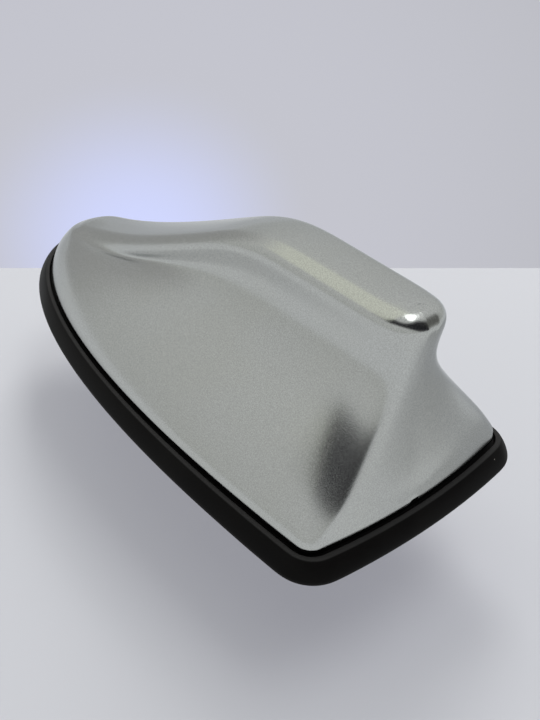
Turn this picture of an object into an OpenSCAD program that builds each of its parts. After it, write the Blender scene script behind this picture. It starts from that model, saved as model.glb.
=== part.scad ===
// Shark fin roof aerial. A painted fin cover stands on a rubber seal over a die-cast
// base plate, which carries the boards and hangs in the roof opening by one stud.
// +Z is up and the nose points to -Y. The origin is on the stud's axis, in the plane
// of the roof skin that the seal lies on. Sizes are in millimetres.

/* [Cover foot] */
// Length of the foot from the nose to the rear corners
cover_len = 150; // [140:1:165]
// Half width of the foot at the rear corners
rear_half = 36; // [33:0.5:40]
// How far the foot runs straight across the nose before it turns back
nose_full = 16.5; // [14:0.5:20]
// Pull of the long side curve, measured from the rear corner
side_pull = 112; // [100:1:120]
// Angle at which the sides close in towards the rear
side_tuck = 3.7; // [2:0.1:5]
// Outward bow of the rear edge
rear_bow = 3.4; // [1:0.1:6]
// Rounding of the two rear corners
foot_corner = 4; // [3:0.5:7]
// Distance from the nose to the stud's axis
stud_from_nose = 80; // [76:1:86]
// Height of the cover's lower edge over the roof
cover_z = 5.7; // [5:0.1:7]
// Height of the upright rim above the lower edge
rim_h = 2.5; // [1.5:0.1:3]
// Wall thickness of the moulding
cover_wall = 2.4; // [1.8:0.1:2.8]

/* [Fin] */
// Height of the fin's crest over the roof at its rear end
fin_h = 57.3; // [54:0.1:60]
// Drop of the crest from its rear end to the shoulder
shoulder_drop = 1.2; // [0:0.1:4]
// Distance from the nose to the shoulder, where the crest turns level
shoulder_y = 92; // [86:1:98]
// Half length of the rounding at the shoulder
shoulder_round = 12; // [6:1:16]
// Height of the blunt nose over the roof
nose_h = 16; // [12:0.1:18]
// Distance from the nose to the start of the crest
nose_back = 4.4; // [2:0.1:5]
// Slope of the crest at the nose, as rise over run
nose_slope = 0.22; // [0.15:0.01:0.4]
// Slope of the crest just before the shoulder
rise_slope = 0.55; // [0.45:0.01:0.65]
// How far the fin's rear face stands ahead of the foot's rear corners
fin_back = 3.2; // [2.5:0.1:4.2]
// Half width of the crest at the nose
crest_nose = 10.5; // [9.5:0.1:13]
// Half width of the crest at the shoulder
crest_mid = 10.7; // [10:0.1:12]
// Half width of the crest at the rear face
crest_rear = 9.8; // [9.4:0.1:11]
// Rounding of the fin's two upright rear corners
crest_corner = 7.8; // [7:0.1:8.5]
// Rounding along the two sides of the crest
side_edge_r = 5.2; // [4.6:0.1:6]
// Rounding of the crest's edge at the nose
nose_edge_r = 6.4; // [5:0.1:7.5]
// Angle by which the crest's edge leans over into a dome at the nose
nose_lean = 62; // [50:1:70]
// Distance from the nose over which that lean fades out
lean_run = 50; // [40:1:60]
// Rounding over the rear end of the crest
rear_edge_r = 5; // [4.4:0.1:6]
// Crown of the top strip
crown = 0.35; // [0:0.05:0.8]
// Angle at which the flanks leave the rim
flank_angle = 52; // [48:1:56]
// Angle at which the rear flare leaves the rim
flare_angle = 45; // [40:1:50]
// Fullness of the flanks above the rim, as a share of their run
flank_full = 1; // [0.9:0.01:1.05]
// Fullness of the rear flare, as a share of its run
flare_full = 0.74; // [0.68:0.01:0.8]
// Share of the height over which the flanks stay near upright
flank_upright = 0.3; // [0.25:0.01:0.4]
// Share of the height over which the rear face stays near upright
rear_upright = 0.39; // [0.34:0.01:0.45]
// Hollow of the flanks under the crest, as run over rise
flank_hollow = 0.25; // [0.15:0.01:0.3]
// Hollow of the rear face under the crest, as run over rise
rear_hollow = 0.25; // [0.15:0.01:0.3]
// Length of the flank that the rounding of the upright ridge takes in
ridge_run = 12; // [9:0.5:14]
// Share of the full rounding that the ridge has at half its height
ridge_soft = 1; // [0.5:0.01:1]
// Width of the locating notch in the middle of the rear edge
notch_w = 2.6; // [2:0.1:4]
// Height of the locating notch
notch_h = 1.3; // [0.8:0.1:1.8]
// Distance of the notch from the middle, towards +X
notch_x = 2; // [0:0.1:4]

/* [Base seal] */
// How far the seal's outer lip stands out from the cover
lip_out = 5; // [4:0.1:6]
// Height of the square outer edge of the lip
lip_edge = 0.6; // [0.4:0.1:1]
// Height of the ledge round the cover's lower edge
ledge_z = 5.2; // [4.6:0.1:5.5]
// Outer side of the ledge, measured out from the cover
ledge_out = 1.9; // [1.6:0.1:2.4]
// Inner side of the ledge, measured out from the cover
ledge_in = 0.8; // [0.6:0.1:1.2]
// Depth of the shadow groove below the ledge
groove_d = 1.3; // [0.8:0.1:1.8]
// How far the cover's edge hangs over the shadow groove
groove_under = 0.7; // [0.4:0.1:1]
// How far the seal's foot runs in under the base plate
foot_in = 6.2; // [5.5:0.1:6.6]
// Width of the sealing beads under the foot and the lip
bead_w = 1.4; // [1:0.1:2]
// Height of the relief between the two beads
relief_h = 0.8; // [0.4:0.1:1]

/* [Base plate] */
// Height of the plate's underside over the roof
plate_z = 1.6; // [1.4:0.1:2]
// Thickness of the plate
plate_t = 2.4; // [2:0.1:2.8]
// Width of the rib that stands inside the cover's rim
upstand_t = 1.5; // [1.2:0.1:2]
// Height of that rib above the plate
upstand_h = 2.5; // [1.5:0.1:3]
// Width of the long stiffening ribs
rib_t = 1.6; // [1.2:0.1:2]
// Height of the long stiffening ribs
rib_h = 1.5; // [1:0.1:2]
// Half width of the neck that stands in the roof opening
neck_r = 12; // [11.5:0.1:13]
// Length of the neck's straight sides
neck_run = 25; // [24:0.5:28]
// Depth of the neck below the roof skin
neck_d = 2.4; // [1.6:0.1:3]
// Width of the rubber ring round the neck
ring_w = 2.5; // [2:0.1:4]
// Gap between the neck and that ring
ring_gap = 1; // [0.6:0.1:1.5]

/* [Fixing] */
// Radius of the stud's thread
stud_r = 4; // [3.5:0.1:4.5]
// Length of the stud below the roof skin
stud_len = 24; // [23:0.5:30]
// Height of the stud's hexagon head
stud_head_h = 2.6; // [2:0.1:2.8]
// Width across the flats of the stud's head
stud_head_af = 12; // [11:0.5:13]
// Width across the flats of the nut
nut_af = 13; // [12:0.5:15]
// Height of the nut with its flange
nut_h = 8; // [6:0.5:8]
// Radius of the nut's flange
nut_flange_r = 8.9; // [8.5:0.1:9.5]
// Thickness of the nut's flange
nut_flange_t = 1.5; // [1:0.1:2]
// Thickness of the claw plate's sheet
claw_t = 1.5; // [1.2:0.1:2]
// Half width of the claw plate across the roof opening
claw_half = 17; // [16.5:0.5:19]
// Length of the claw plate along the roof opening
claw_len = 20; // [19:1:23]
// Depth of the claw plate's web below the roof skin
claw_z = 4.8; // [4.2:0.1:5.5]
// Depth of the claw tips below the roof skin
claw_tip_z = 1; // [0.8:0.1:1.4]
// Number of claws on each side
claw_n = 4; // [3:1:5]

/* [Screws and vent] */
// Inset of the cover's screws from the edge of the foot
screw_in = 9.5; // [9.3:0.1:10.5]
// Distance of the front screw from the nose
nose_screw = 13; // [12.5:0.5:15]
// Radius of the cover's screw bosses
boss_r = 2.8; // [2.4:0.1:3]
// Height of the side bosses' free ends over the roof
boss_z = 14; // [12.5:0.5:14.5]
// Radius of the cover screws' shanks
screw_r = 1.2; // [1:0.05:1.4]
// Length of the cover screws
screw_len = 9.4; // [8:0.1:9.6]
// Radius of the cover screws' heads
screw_head_r = 2.5; // [2.2:0.1:2.6]
// Height of the screws' heads
screw_head_h = 1.3; // [1:0.1:1.4]
// Radius of the board screws' shanks
board_screw_r = 1.1; // [0.9:0.05:1.3]
// Length of the board screws
board_screw_len = 5.4; // [4:0.1:6]
// Radius of the vent plug's barrel
vent_r = 3; // [2.5:0.1:3.5]
// Thickness of the vent plug's flange
vent_t = 0.8; // [0.6:0.1:1.2]

/* [Boards] */
// Height of the board's underside over the roof
board_z = 7; // [6.8:0.1:7.5]
// Thickness of the circuit boards
board_t = 1.6; // [1:0.1:2]
// Inset of the board from the edge of the foot
board_in = 13.5; // [13:0.1:15]
// How far the board runs past the axes of its end screws
board_margin = 5; // [4:0.5:6]
// Rear end of the board, behind the stud
board_rear = 54; // [52:0.5:56]
// Radius of the posts under the board
post_r = 3; // [2.4:0.1:3.2]
// Size of the satellite patch's square
patch_size = 25; // [23:0.5:26]
// Thickness of the satellite patch
patch_t = 4; // [3:0.1:5]
// Thickness of the bonding pad under the patch
patch_pad_t = 1; // [0.6:0.1:1.5]
// Distance of the patch's centre ahead of the stud
patch_y = 30; // [29:0.5:31]
// Thickness of the upright phone board
blade_t = 1; // [0.8:0.1:1.6]
// Length of the phone board's foot
blade_len = 18; // [16:0.5:20]
// Gap between the phone board and the cover's crest
blade_gap = 2; // [1:0.5:4]
// Length and width of the shield can
can_size = 25; // [24:0.5:26]
// Height of the shield can
can_h = 4; // [3:0.1:5]
// Sheet thickness of the shield can
can_t = 0.5; // [0.3:0.1:0.8]

/* [Connector] */
// Width of the connector's shroud
shroud_w = 18; // [17:0.5:19]
// Length of the connector's shroud
shroud_len = 14; // [13:0.5:15]
// Wall thickness of the shroud
shroud_wall = 1.2; // [1:0.1:1.4]
// Depth of the shroud's mouth below the roof skin
shroud_d = 8; // [7.8:0.1:10]
// Depth of the shroud's socket
socket_d = 9; // [8.8:0.1:10]
// Distance of the connector's centre behind the stud
shroud_y = 22; // [21.5:0.5:23]
// Pitch of the coaxial contacts across the shroud
jack_pitch_x = 7.2; // [6:0.1:8]
// Pitch of the coaxial contacts along the shroud
jack_pitch_y = 5.4; // [5:0.1:6]
// Outer radius of the contact shells
jack_r = 1.9; // [1.6:0.1:2.2]
// Length of the contact shells
jack_len = 4.5; // [4:0.1:4.6]
// Radius of the centre pins
pin_r = 0.5; // [0.4:0.05:0.6]

/* [Radio aerial] */
// Distance of the coil's axis behind the stud
coil_y = 46; // [45:0.5:48]
// Radius of the former's column
former_r = 3.2; // [2.8:0.1:3.6]
// Radius of the coil's wire
wire_r = 0.4; // [0.3:0.05:0.5]
// Height of the coil's first turn over the board
coil_foot = 4.4; // [4:0.1:6]
// Room between the coil's last turn and the plate over it
coil_head = 2.7; // [2.5:0.1:5]
// Number of turns in the coil
coil_turns = 10; // [6:1:10]
// Half width of the former's foot
former_foot = 6; // [5.5:0.1:7]
// Half length of the former's foot
former_toe = 8; // [7:0.1:9]
// Sheet thickness of the roof plate inside the fin
hat_t = 0.5; // [0.4:0.1:0.8]
// Half width of that plate
hat_half = 5; // [4.5:0.1:5.5]
// Depth of the plate's side flanges
hat_flange = 7; // [5:0.5:9]
// Front end of the plate, behind the stud
hat_front = 14; // [13:0.5:18]
// Gap between the plate's rear end and the inside of the cover
hat_gap = 3.6; // [3:0.1:5]
// Gap between the foam strip and the inside of the crest
foam_gap = 0.3; // [0.2:0.1:0.5]
// Height of the foam strip
foam_h = 3.8; // [3:0.1:5]
// How far the foam strip stays back from the plate's front end
foam_front = 12; // [10:0.5:16]
// How far the foam strip stays back from the plate's rear end
foam_back = 4; // [3:0.5:6]

/* [Hidden] */
$fn = 48;

// Drop of the rim's corner inside the wall, as a share of the wall's thickness
inner_drop = 0.65;
// Half width over which the crown of the top strip fades out at its ends
crown_run = 4;

// Small clearances that the whole part shares
fit = 0.05;
slide_gap = 0.2;
eps = 0.01;

// Steps along a half loop of the foot: side, end of the side, corner, rear edge
side_n = 24;
ridge_n = 5;
corner_n = 6;
rear_n = 5;
turn_n = side_n + ridge_n;
half_n = turn_n + corner_n + rear_n;
// Steps of smoothing across the upright ridge
ridge_steps = 12;
loop_n = 2 * half_n;
// Steps up the wall and round the crest's edge, outside and inside
wall_n = 11;
edge_n = 5;
inner_wall_n = 6;
inner_edge_n = 2;
// Spacing of the steps: above 1 they crowd towards the nose of the foot
foot_pack = 1.1;
// Length of the crowded steps at the nose of the crest, as a share of the whole
crest_crowd = 1;

nose_y = -stud_from_nose;
foot_rear = nose_y + cover_len;
rim_z = cover_z + rim_h;
plate_top = plate_z + plate_t;
plate_in = cover_wall + slide_gap + 0.1;
board_top = board_z + board_t;
shoulder_h = fin_h - shoulder_drop;

// Smooth curve through four control points
function bez(p0, p1, p2, p3, t) =
    pow(1 - t, 3) * p0 + 3 * pow(1 - t, 2) * t * p1 + 3 * (1 - t) * t * t * p2 + pow(t, 3) * p3;
// Crossing point of two lines, each given by a point and a direction
function meet(p, d, q, e) = p + d * cross(q - p, e) / cross(d, e);
function inward(d) = [-d[1], d[0]] / norm(d);
function mix(a, b, s) = a * (1 - s) + b * s;
function ease(s) = s * s * (3 - 2 * s);
function crowded(u) = u * u * (1 + crest_crowd) / (u + crest_crowd);

// Control points of the long side of the foot, moved inward by a distance
side_1 = [nose_full, nose_y];
side_3 = [rear_half, foot_rear];
side_2 = side_3 - side_pull * [-sin(side_tuck), cos(side_tuck)];
function side_ctrl(inset) =
    let (
        d1 = side_2 - side_1,
        d2 = side_3 - side_2,
        q1 = side_1 + inset * inward(d1),
        q2 = side_3 + inset * inward(d2),
        c0 = [0, nose_y + inset]
    )
    [
        c0,
        meet(q1, d1, c0, [1, 0]),
        meet(q1, d1, q2, d2),
        meet(q2, d2, [0, foot_rear - inset], [1, 0])
    ];
function side_at(c, t) = bez(c[0], c[1], c[2], c[3], t);
function rear_at(c, x) = [x, c[3][1] + rear_bow * (1 - pow(x / c[3][0], 2))];

// Half loop of the foot from the nose to the middle of the rear edge
function foot_half(inset) =
    let (
        c = side_ctrl(inset),
        r = max(foot_corner - inset, 1),
        t_end = 1 - r / (3 * norm(c[3] - c[2])),
        t_ridge = t_end - ridge_run / (3 * norm(c[3] - c[2])),
        a = side_at(c, t_end),
        e = rear_at(c, c[3][0] - r)
    )
    concat(
        [for (i = [0:side_n - 1]) side_at(c, t_ridge * pow(i / side_n, foot_pack))],
        [for (i = [0:ridge_n - 1]) side_at(c, mix(t_ridge, t_end, i / ridge_n))],
        [for (i = [0:corner_n - 1]) bez(a, mix(a, c[3], 0.6), mix(e, c[3], 0.6), e, i / corner_n)],
        [for (i = [0:rear_n]) rear_at(c, e[0] * (1 - i / rear_n))]
    );

// The other half of a loop is its mirror image
function whole(half) =
    concat(half, [for (i = [half_n - 1:-1:1]) concat([-half[i][0]], [for (k = [1:len(half[i]) - 1]) half[i][k]])]);
function foot_loop(inset) = whole(foot_half(inset));

// Crest of the fin seen from the side, as a table of height over y
crest_0 = [nose_y + nose_back, nose_h];
crest_k = [nose_y + shoulder_y, shoulder_h];
crest_r = [foot_rear - fin_back, fin_h];
top_slope = (crest_r[1] - crest_k[1]) / (crest_r[0] - crest_k[0]);
crest_1 = crest_k - shoulder_round * [1, rise_slope];
crest_2 = crest_k + shoulder_round * [1, top_slope];
rise_third = (crest_1[0] - crest_0[0]) / 3;
crest_line = concat(
    [
        for (i = [0:14])
            bez(crest_0, crest_0 + rise_third * [1, nose_slope], crest_1 - rise_third * [1, rise_slope], crest_1, i / 14)
    ],
    [for (i = [1:8]) mix(mix(crest_1, crest_k, i / 8), mix(crest_k, crest_2, i / 8), i / 8)],
    [crest_r + 5 * [1, top_slope]]
);
function crest_z(y) = lookup(y, crest_line);

// Half width of the crest seen from above
function crest_half_w(y) =
    y < crest_k[0]
        ? mix(crest_nose, crest_mid, max(0, (y - crest_0[0]) / (crest_k[0] - crest_0[0])))
        : mix(crest_mid, crest_rear, (y - crest_k[0]) / (crest_r[0] - crest_k[0]));

// Half loop of the crest, with as many points as the foot has
function crest_half(inset) =
    let (
        r = max(crest_corner - inset, 1),
        y0 = crest_0[0] + inset,
        y1 = crest_r[0] - inset - r,
        y_ridge = y1 - ridge_run,
        xr = crest_rear - inset - r
    )
    concat(
        [
            for (i = [0:side_n - 1])
                let (
                    y = mix(y0, y_ridge, crowded(i / side_n)),
                    s = 1 - min(1, (y - y0) / crest_nose)
                )
                [(crest_half_w(y) - inset) * sqrt(1 - s * s), y]
        ],
        [
            for (i = [0:ridge_n - 1])
                let (y = mix(y_ridge, y1, i / ridge_n))
                [crest_half_w(y) - inset, y]
        ],
        [for (i = [0:corner_n - 1]) [xr, y1] + r * [cos(90 * i / corner_n), sin(90 * i / corner_n)]],
        [for (i = [0:rear_n]) [xr * (1 - i / rear_n), y1 + r]]
    );
// Outward direction of the crest at one of its points
function crest_out(c, i) =
    i == 0 ? [0, -1] : i == half_n ? [0, 1] : let (d = c[i + 1] - c[i - 1]) [d[1], -d[0]] / norm(d);
// 0 along the sides and 1 along the rear, changing over the corner
function rear_share(i) = ease(min(1, max(0, (i - turn_n) / corner_n)));
// 1 at the nose, fading to 0 along the sides
function nose_share(c, i) = i >= side_n ? 0 : 1 - ease(min(1, (c[i][1] - c[0][1]) / lean_run));
function lean(c, i) = nose_lean * nose_share(c, i);
function edge_r(c, i, inset) =
    let (r = mix(side_edge_r, rear_edge_r, rear_share(i)) + (nose_edge_r - side_edge_r) * nose_share(c, i))
    min(max(r - inset, 0.6), 0.45 * (crest_z(c[i][1]) - inset - rim_z) / (1 - sin(lean(c, i))));

// Point on the rounded edge of the crest, turned by an angle from the upright
function edge_at(c, i, inset, turn) =
    let (
        r = edge_r(c, i, inset),
        p = c[i] - r * (1 - cos(turn)) * crest_out(c, i)
    )
    [max(0, p[0]), p[1], crest_z(p[1]) - inset - r * (1 - sin(turn))];

// Point on the wall between the rim and the crest's rounded edge
function wall_at(f, c, i, inset, t) =
    let (
        s = rear_share(i),
        turn = lean(c, i),
        top = edge_at(c, i, inset, turn),
        low = [f[i][0], f[i][1], rim_z - inner_drop * inset],
        run = [top[0] - low[0], top[1] - low[1], 0],
        rise = top[2] - low[2],
        angle = mix(flank_angle, flare_angle, s),
        full = mix(flank_full, flare_full, s) * norm(run),
        upright = mix(flank_upright, rear_upright, s) * norm([rise, sin(turn) * norm(run)]),
        pull = mix(flank_hollow, rear_hollow, s) * (1 - sin(turn)) - sin(turn),
        out = crest_out(c, i)
    )
    bez(
        low,
        low + full * (cos(angle) * run / norm(run) + [0, 0, sin(angle)]),
        top - upright * [pull * out[0], pull * out[1], cos(turn)],
        top,
        t
    );

// Ring of the wall with the upright ridge smoothed into a broad rounding
function smoothed(ring, steps) =
    steps == 0
        ? ring
        : smoothed(
            [
                for (i = [0:half_n])
                    i <= side_n || i >= half_n - 1 ? ring[i] : (ring[i - 1] + 2 * ring[i] + ring[i + 1]) / 4
            ],
            steps - 1
        );
function wall_ring(f, c, inset, t) =
    let (
        ring = [for (i = [0:half_n]) wall_at(f, c, i, inset, t)],
        soft = smoothed(ring, ridge_steps),
        share = ridge_soft * sin(180 * t)
    )
    [for (i = [0:half_n]) mix(ring[i], soft[i], share)];

// Rings of the fin from its lower edge to the top strip
function fin_rings(inset, low_z, walls, edges) =
    let (f = foot_half(inset), c = crest_half(inset))
    concat(
        [whole([for (i = [0:half_n]) [f[i][0], f[i][1], low_z]])],
        [for (k = [0:walls]) whole(wall_ring(f, c, inset, k / walls))],
        [for (k = [1:edges]) whole([for (i = [0:half_n]) edge_at(c, i, inset, mix(lean(c, i), 90, k / edges))])]
    );
// Faces between two neighbouring rings of a lofted body
function band(k0, k1) =
    [
        for (i = [0:loop_n - 1], half = [0, 1])
            let (
                j = (i + 1) % loop_n,
                a = k0 * loop_n + i,
                b = k0 * loop_n + j,
                c = k1 * loop_n + j,
                d = k1 * loop_n + i
            )
            half == 0 ? [a, d, c] : [a, c, b]
    ];

// Faces of a top strip that closes ring k over a ridge of middle points
function strip(k, mid) =
    let (
        top = k * loop_n,
        m = mid - 1,
        sides = [
            for (i = [1:half_n - 2], half = [0, 1])
                let (a = top + i, b = top + i + 1, c = m + i + 1, d = m + i)
                half == 0 ? [a, d, c] : [a, c, b]
        ],
        others = [
            for (i = [1:half_n - 2], half = [0, 1])
                let (a = top + loop_n - i, b = a - 1, c = m + i + 1, d = m + i)
                half == 0 ? [a, c, d] : [a, b, c]
        ],
        end = top + half_n,
        tail = m + half_n - 1
    )
    concat(
        sides,
        others,
        [[top, mid, top + 1], [top, top + loop_n - 1, mid], [end, end - 1, tail], [end, tail, end + 1]]
    );
function flipped(faces) = [for (f = faces) [f[2], f[1], f[0]]];
// Middle points of a top strip, which fans out at its rear end
function ridge_line(ring) =
    let (end = ring[half_n][1])
    [
        for (i = [1:half_n - 1])
            let (x = ring[i][0])
            [0, min(ring[i][1], end - x), ring[i][2] + crown * min(1, x / crown_run)]
    ];

// Thin shell of the cover: one loft outside, one inside, and the lower edge between them
module fin_shell() {
    outside = fin_rings(0, cover_z, wall_n, edge_n);
    inside = fin_rings(cover_wall, cover_z, inner_wall_n, inner_edge_n);
    n_out = len(outside);
    n_in = len(inside);
    mid_out = (n_out + n_in) * loop_n;
    mid_in = mid_out + half_n - 1;
    points = concat(
        [for (r = outside) for (p = r) p],
        [for (r = inside) for (p = r) p],
        ridge_line(outside[n_out - 1]),
        ridge_line(inside[n_in - 1])
    );
    faces = concat(
        [for (k = [0:n_out - 2]) for (f = band(k, k + 1)) f],
        strip(n_out - 1, mid_out),
        flipped([for (k = [n_out:n_out + n_in - 2]) for (f = band(k, k + 1)) f]),
        flipped(strip(n_out + n_in - 1, mid_in)),
        flipped(band(0, n_out))
    );
    polyhedron(points = points, faces = faces, convexity = 8);
}

// Places of the cover's screws: three pairs along the sides and one at the nose
screw_line = side_ctrl(screw_in);
screw_t = [0.44, 0.76, 0.94];
screw_side = [for (t = screw_t) side_at(screw_line, t)];
screw_spots = concat(
    [[0, nose_y + nose_screw]],
    screw_side,
    [for (p = screw_side) [-p[0], p[1]]]
);
board_head_r = board_screw_r + 1.1;
nose_boss_z = crest_z(nose_y + nose_screw) - cover_wall / 2;
// Places of the board's posts
post_front = [9, -(patch_y + patch_size / 2 + board_head_r + slide_gap + 0.1)];
post_rear = [17, board_rear - board_margin];
board_front = board_margin - post_front[1];
post_spots = [for (p = [post_front, post_rear], s = [-1, 1]) [s * p[0], p[1]]];
vent_spot = [-17, -22];

module bar(x0, x1, y0, y1, z0, z1) {
    translate([x0, y0, z0]) cube([x1 - x0, y1 - y0, z1 - z0]);
}
module rod(r, z0, z1) {
    translate([0, 0, z0]) cylinder(r = r, h = z1 - z0);
}
module hexagon(af, z0, z1) {
    translate([0, 0, z0]) cylinder(r = af / 2 / cos(30), h = z1 - z0, $fn = 6);
}
// Flat slab with the foot's outline, moved inward
module slab(inset, z0, z1) {
    translate([0, 0, z0]) linear_extrude(z1 - z0) polygon(foot_loop(inset));
}
// Slab with straight sides and round ends, for the roof opening
module oblong(r, z0, z1) {
    rod(r, z0, z1);
    translate([0, neck_run, 0]) rod(r, z0, z1);
    bar(-r, r, 0, neck_run, z0, z1);
}

// Painted moulding: rim, concave flanks and upright fin in one thin wall, with the
// screw bosses moulded inside and a locating notch in the rear edge
module fin_cover() {
    color("silver") difference() {
        union() {
            fin_shell();
            for (i = [0:len(screw_spots) - 1]) translate(screw_spots[i]) rod(boss_r, plate_top, i == 0 ? nose_boss_z : boss_z);
        }
        for (p = screw_spots) translate(p) rod(screw_r + fit, plate_top - 1, plate_z + screw_len + 0.3);
        translate([notch_x, 0, 0])
            bar(-notch_w / 2, notch_w / 2, foot_rear - 3, foot_rear + 5, cover_z - 1, cover_z + notch_h);
    }
}

// Section of the rubber seal as [out from the cover, height], going up its outside
seal_wall = -(plate_in - slide_gap);
skirt = [
    for (i = [0:4])
        bez([lip_out, lip_edge], [lip_out - 0.6, lip_edge + 1.8], [ledge_out + 1, ledge_z - 0.5], [ledge_out, ledge_z], i / 4)
];
seal_section = concat(
    [[lip_out, 0]],
    skirt,
    [
        [ledge_in, ledge_z],
        [ledge_in - 0.2, ledge_z - groove_d],
        [-groove_under, ledge_z - groove_d],
        [-groove_under, cover_z],
        [seal_wall, cover_z],
        [seal_wall, plate_z],
        [-foot_in, plate_z],
        [-foot_in, 0],
        [bead_w - foot_in, 0],
        [bead_w - foot_in + relief_h, relief_h],
        [lip_out - bead_w - relief_h, relief_h],
        [lip_out - bead_w, 0]
    ]
);

// Rubber seal: skirt, ledge and shadow groove outside, a seat for the cover's edge
// and a foot that lies under the base plate
module base_seal() {
    rows = len(seal_section);
    points = [for (s = seal_section) for (p = foot_loop(-s[0])) [p[0], p[1], s[1]]];
    faces = [for (k = [0:rows - 1]) for (f = band(k, (k + 1) % rows)) f];
    color("#1b1b1c") union() {
        polyhedron(points = points, faces = faces, convexity = 8);
        translate([notch_x, 0, 0]) bar(
            -notch_w / 2 + slide_gap, notch_w / 2 - slide_gap,
            foot_rear + rear_bow - cover_wall + slide_gap, foot_rear + rear_bow - groove_under,
            cover_z - 0.5, cover_z + notch_h - slide_gap
        );
    }
}

// Die-cast plate: it carries the boards on posts, and its neck stands in the roof
// opening with the stud in front and the connector behind
module base_plate() {
    rib_x = neck_r + rib_t;
    color("#9a9b9d") difference() {
        union() {
            slab(plate_in, plate_z, plate_top);
            difference() {
                slab(plate_in + slide_gap, plate_top - eps, plate_top + upstand_h);
                slab(plate_in + slide_gap + upstand_t, plate_top - 1, plate_top + upstand_h + 1);
            }
            for (s = [-1, 1]) bar(s * rib_x - rib_t / 2, s * rib_x + rib_t / 2, -board_front, board_rear, plate_top - eps, plate_top + rib_h);
            oblong(neck_r, -neck_d, plate_z + eps);
            for (p = post_spots) translate(p) rod(post_r, plate_top - eps, board_z);
        }
        rod(stud_r + fit, -neck_d - 1, plate_top + 1);
        bar(
            -shroud_w / 2 - slide_gap, shroud_w / 2 + slide_gap,
            shroud_y - shroud_len / 2 - slide_gap, shroud_y + shroud_len / 2 + slide_gap,
            -neck_d - 1, plate_top + 1
        );
        for (p = post_spots) translate(p) rod(board_screw_r + fit, board_top - board_screw_len - 0.3, board_z + 1);
        for (p = screw_spots) translate(p) rod(screw_r + slide_gap, plate_z - 1, plate_top + 1);
        translate(vent_spot) rod(vent_r + fit, plate_z - 1, plate_top + 1);
    }
}

// Rubber ring round the neck, the second barrier against water
module hole_ring() {
    color("#232324") difference() {
        oblong(neck_r + ring_gap + ring_w, 0, plate_z);
        oblong(neck_r + ring_gap, -1, plate_z + 1);
    }
}

// Threaded stud, turned, with a hexagon head on the plate and a groove that keeps the
// nut from running off
module mount_stud() {
    nut_low = -claw_z - claw_t - nut_h;
    groove = stud_r - 0.7;
    color("#b9bbb4") union() {
        rotate_extrude() polygon([
            [0, plate_top],
            [stud_r, plate_top],
            [stud_r, nut_low - 0.8],
            [groove, nut_low - 0.8],
            [groove, nut_low - 1.6],
            [stud_r, nut_low - 1.6],
            [stud_r, 1 - stud_len],
            [stud_r - 1, -stud_len],
            [0, -stud_len]
        ]);
        hexagon(stud_head_af, plate_top, plate_top + stud_head_h);
    }
}

// Pressed steel plate whose claws bite into the roof's underside and earth the aerial
module claw_plate() {
    pitch = claw_len / claw_n;
    low = -claw_z;
    root = mix(low, -claw_tip_z, 0.45);
    teeth = [
        for (i = [0:claw_n - 1], k = [0:2])
            [(i + k / 2) * pitch - claw_len / 2, k == 1 ? -claw_tip_z : root]
    ];
    color("#c9c39a") difference() {
        union() {
            bar(-claw_half, claw_half, -claw_len / 2, claw_len / 2, low - claw_t, low);
            for (x = [-claw_half, claw_half - claw_t])
                translate([x, 0, 0]) rotate([90, 0, 90]) linear_extrude(claw_t)
                    polygon(concat(teeth, [[claw_len / 2, low - claw_t / 2], [-claw_len / 2, low - claw_t / 2]]));
        }
        rod(stud_r + slide_gap, low - claw_t - 1, low + 1);
    }
}

// Hexagon nut with a flange that bears on the claw plate
module mount_nut() {
    top = -claw_z - claw_t;
    color("#c4c5c1") difference() {
        union() {
            rod(nut_flange_r, top - nut_flange_t, top);
            hexagon(nut_af, top - nut_h, top - nut_flange_t);
        }
        rod(stud_r + fit, top - nut_h - 1, top + 1);
    }
}

// Plug with a breathing membrane, pushed into the plate from below
module vent_plug() {
    color("#303236") translate(vent_spot) {
        rod(vent_r, plate_z, plate_top);
        rod(vent_r + 1.2, plate_z - vent_t, plate_z);
    }
}

// Pan head screw seen from its head's seat: the shank goes up
module screw(r, head_r, shank) {
    rod(r, 0, shank);
    rod(head_r, -screw_head_h, 0);
}
// Screws that draw the plate up against the cover's bosses
module cover_screws() {
    color("#8d8f92") for (p = screw_spots) translate([p[0], p[1], plate_z]) screw(screw_r, screw_head_r, screw_len);
}
// Screws that hold the board down on its posts
module board_screws() {
    color("#a9abad") for (p = post_spots)
        translate([p[0], p[1], board_top]) mirror([0, 0, 1]) screw(board_screw_r, board_head_r, board_screw_len);
}

// Main circuit board
module main_board() {
    color("#1f6b3a") difference() {
        intersection() {
            slab(board_in, board_z, board_top);
            bar(-rear_half, rear_half, -board_front, board_rear, board_z - 1, board_top + 1);
        }
        for (p = post_spots) translate(p) rod(board_screw_r + slide_gap, board_z - 1, board_top + 1);
        jacks() rod(pin_r + fit, board_z - 1, board_top + 1);
        translate([0, -patch_y, 0]) rod(pin_r + fit, board_z - 1, board_top + 1);
    }
}

// Folded tin can over the amplifiers
module shield_can() {
    half = can_size / 2;
    y0 = shroud_y - half;
    y1 = shroud_y + half;
    color("#c3c6c8") difference() {
        bar(-half, half, y0, y1, board_top, board_top + can_h);
        bar(-half + can_t, half - can_t, y0 + can_t, y1 - can_t, board_top - 1, board_top + can_h - can_t);
    }
}

// The four coaxial contacts share these places
module jacks() {
    for (x = [-0.5, 0.5], y = [-0.5, 0.5]) translate([x * jack_pitch_x, shroud_y + y * jack_pitch_y, 0]) children();
}
socket_floor = socket_d - shroud_d;
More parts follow.
